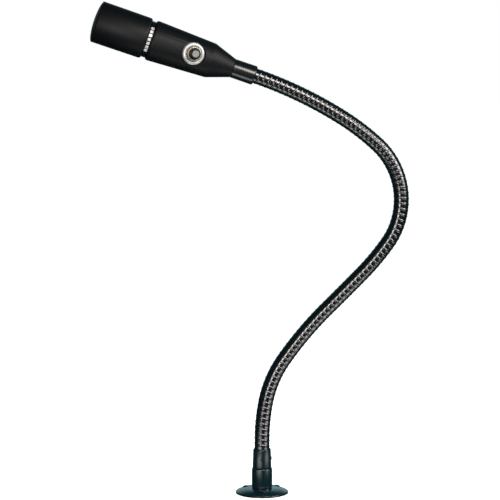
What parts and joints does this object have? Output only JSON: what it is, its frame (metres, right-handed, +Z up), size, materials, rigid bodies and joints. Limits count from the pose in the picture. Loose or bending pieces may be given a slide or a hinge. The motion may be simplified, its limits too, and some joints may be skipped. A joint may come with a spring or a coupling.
{
  "type": "gooseneck podium microphone",
  "caption": "Podium microphone: a slim turned head with a push-to-talk button on a flexible steel gooseneck, threaded onto a round screw-down flange.",
  "frame": {"origin": "centre of the mounting flange's underside, on the podium's surface", "axes": "+Z up out of the podium; the neck lies in the XZ plane and the head points towards -X; the talk button faces -Y"},
  "size_m": [0.2923, 0.0524, 0.4711],
  "materials": {
    "gloss_black": "gloss",
    "black_screw": "gloss",
    "plated_steel": "satin",
    "hose_black": "gloss",
    "lead_jacket": "matte",
    "satin_black": "satin",
    "matte_black": "matte",
    "grille_black": "matte",
    "trim_nickel": "satin",
    "bright_nickel": "polished",
    "plunger_grey": "satin",
    "case_plastic": "matte",
    "foam": "matte",
    "cast_alloy": "satin",
    "diaphragm_film": "gloss",
    "copper_winding": "satin",
    "ferrite": "matte",
    "rubber_ring": "matte",
    "terminal_board": "satin"
  },
  "bodies": {
    "root": {"mounting_flange": "gloss_black", "flange_screw_front": "black_screw", "flange_screw_right": "black_screw", "flange_screw_left": "black_screw", "threaded_nipple": "plated_steel", "base_coupler": "gloss_black", "lower_ferrule": "gloss_black", "ferrule_set_screw_front": "black_screw", "ferrule_set_screw_right": "black_screw", "hose_section_01": "hose_black", "lead_section_01": "lead_jacket"},
    "gooseneck_link_02": {"hose_section_02": "hose_black", "lead_section_02": "lead_jacket"},
    "gooseneck_link_03": {"hose_section_03": "hose_black", "lead_section_03": "lead_jacket"},
    "gooseneck_link_04": {"hose_section_04": "hose_black", "lead_section_04": "lead_jacket"},
    "gooseneck_link_05": {"hose_section_05": "hose_black", "lead_section_05": "lead_jacket"},
    "gooseneck_link_06": {"hose_section_06": "hose_black", "lead_section_06": "lead_jacket"},
    "gooseneck_link_07": {"hose_section_07": "hose_black", "lead_section_07": "lead_jacket"},
    "gooseneck_link_08": {"hose_section_08": "hose_black", "lead_section_08": "lead_jacket"},
    "gooseneck_link_09": {"hose_section_09": "hose_black", "lead_section_09": "lead_jacket"},
    "gooseneck_link_10": {"hose_section_10": "hose_black", "lead_section_10": "lead_jacket"},
    "gooseneck_link_11": {"hose_section_11": "hose_black", "lead_section_11": "lead_jacket"},
    "gooseneck_link_12": {"hose_section_12": "hose_black", "lead_section_12": "lead_jacket"},
    "head": {"hose_section_13": "hose_black", "lead_section_13": "lead_jacket", "neck_ferrule": "satin_black", "rear_housing": "matte_black", "front_cap": "matte_black", "front_grille": "grille_black", "trim_band": "trim_nickel", "switch_bezel": "bright_nickel", "switch_bushing": "bright_nickel", "switch_lug_left": "bright_nickel", "switch_lug_right": "bright_nickel", "switch_case": "case_plastic", "switch_spring": "plated_steel", "pole_piece": "plated_steel", "rear_yoke": "plated_steel", "transformer_core": "plated_steel", "foam_pad": "foam", "capsule_basket": "cast_alloy", "diaphragm": "diaphragm_film", "voice_coil": "copper_winding", "transformer_winding": "copper_winding", "magnet": "ferrite", "shock_ring_front": "rubber_ring", "shock_ring_rear": "rubber_ring", "terminal_board": "terminal_board"},
    "talk_button": {"switch_plunger": "plunger_grey"}
  },
  "joints": [
    {"name": "gooseneck_bend_01", "type": "hinge", "parent": "root", "child": "gooseneck_link_02", "pos_m": [0.00095, 0, 0.06877], "axis": [0.004, -1, 0.004], "range_deg": [-16, 16]},
    {"name": "gooseneck_sway_02", "type": "hinge", "parent": "gooseneck_link_02", "child": "gooseneck_link_03", "pos_m": [0.00905, 0, 0.10488], "axis": [-0.9274, 0, 0.374], "range_deg": [-16, 16]},
    {"name": "gooseneck_bend_03", "type": "hinge", "parent": "gooseneck_link_03", "child": "gooseneck_link_04", "pos_m": [0.0283, 0, 0.13649], "axis": [0.004, -1, 0.004], "range_deg": [-16, 16]},
    {"name": "gooseneck_bend_04", "type": "hinge", "parent": "gooseneck_link_04", "child": "gooseneck_link_05", "pos_m": [0.05235, 0, 0.16476], "axis": [0.004, -1, 0.004], "range_deg": [-16, 16]},
    {"name": "gooseneck_sway_05", "type": "hinge", "parent": "gooseneck_link_05", "child": "gooseneck_link_06", "pos_m": [0.0786, 0, 0.19103], "axis": [-0.7078, 0, 0.7064], "range_deg": [-16, 16]},
    {"name": "gooseneck_bend_06", "type": "hinge", "parent": "gooseneck_link_06", "child": "gooseneck_link_07", "pos_m": [0.10421, 0, 0.21791], "axis": [0.004, -1, 0.004], "range_deg": [-16, 16]},
    {"name": "gooseneck_bend_07", "type": "hinge", "parent": "gooseneck_link_07", "child": "gooseneck_link_08", "pos_m": [0.12436, 0, 0.24887], "axis": [0.004, -1, 0.004], "range_deg": [-16, 8]},
    {"name": "gooseneck_sway_08", "type": "hinge", "parent": "gooseneck_link_08", "child": "gooseneck_link_09", "pos_m": [0.12758, 0, 0.28543], "axis": [-0.9842, 0, -0.1768], "range_deg": [-16, 16]},
    {"name": "gooseneck_bend_09", "type": "hinge", "parent": "gooseneck_link_09", "child": "gooseneck_link_10", "pos_m": [0.11184, 0, 0.31858], "axis": [0.004, -1, 0.004], "range_deg": [-16, 13]},
    {"name": "gooseneck_bend_10", "type": "hinge", "parent": "gooseneck_link_10", "child": "gooseneck_link_11", "pos_m": [0.08364, 0, 0.34263], "axis": [0.004, -1, 0.004], "range_deg": [-16, 16]},
    {"name": "gooseneck_sway_11", "type": "hinge", "parent": "gooseneck_link_11", "child": "gooseneck_link_12", "pos_m": [0.05196, 0, 0.36196], "axis": [-0.4759, 0, -0.8795], "range_deg": [-16, 16]},
    {"name": "gooseneck_bend_12", "type": "hinge", "parent": "gooseneck_link_12", "child": "head", "pos_m": [0.0185, 0, 0.37806], "axis": [0.004, -1, 0.004], "range_deg": [-16, 16]},
    {"name": "talk_button_press", "type": "slide", "parent": "head", "child": "talk_button", "axis": [-0.1647, 0.9863, 0.0021], "range_m": [0, 0.0025], "stiffness_N_per_m": 600, "springref_m": -0.002, "deforming": ["switch_spring"]}
  ]
}
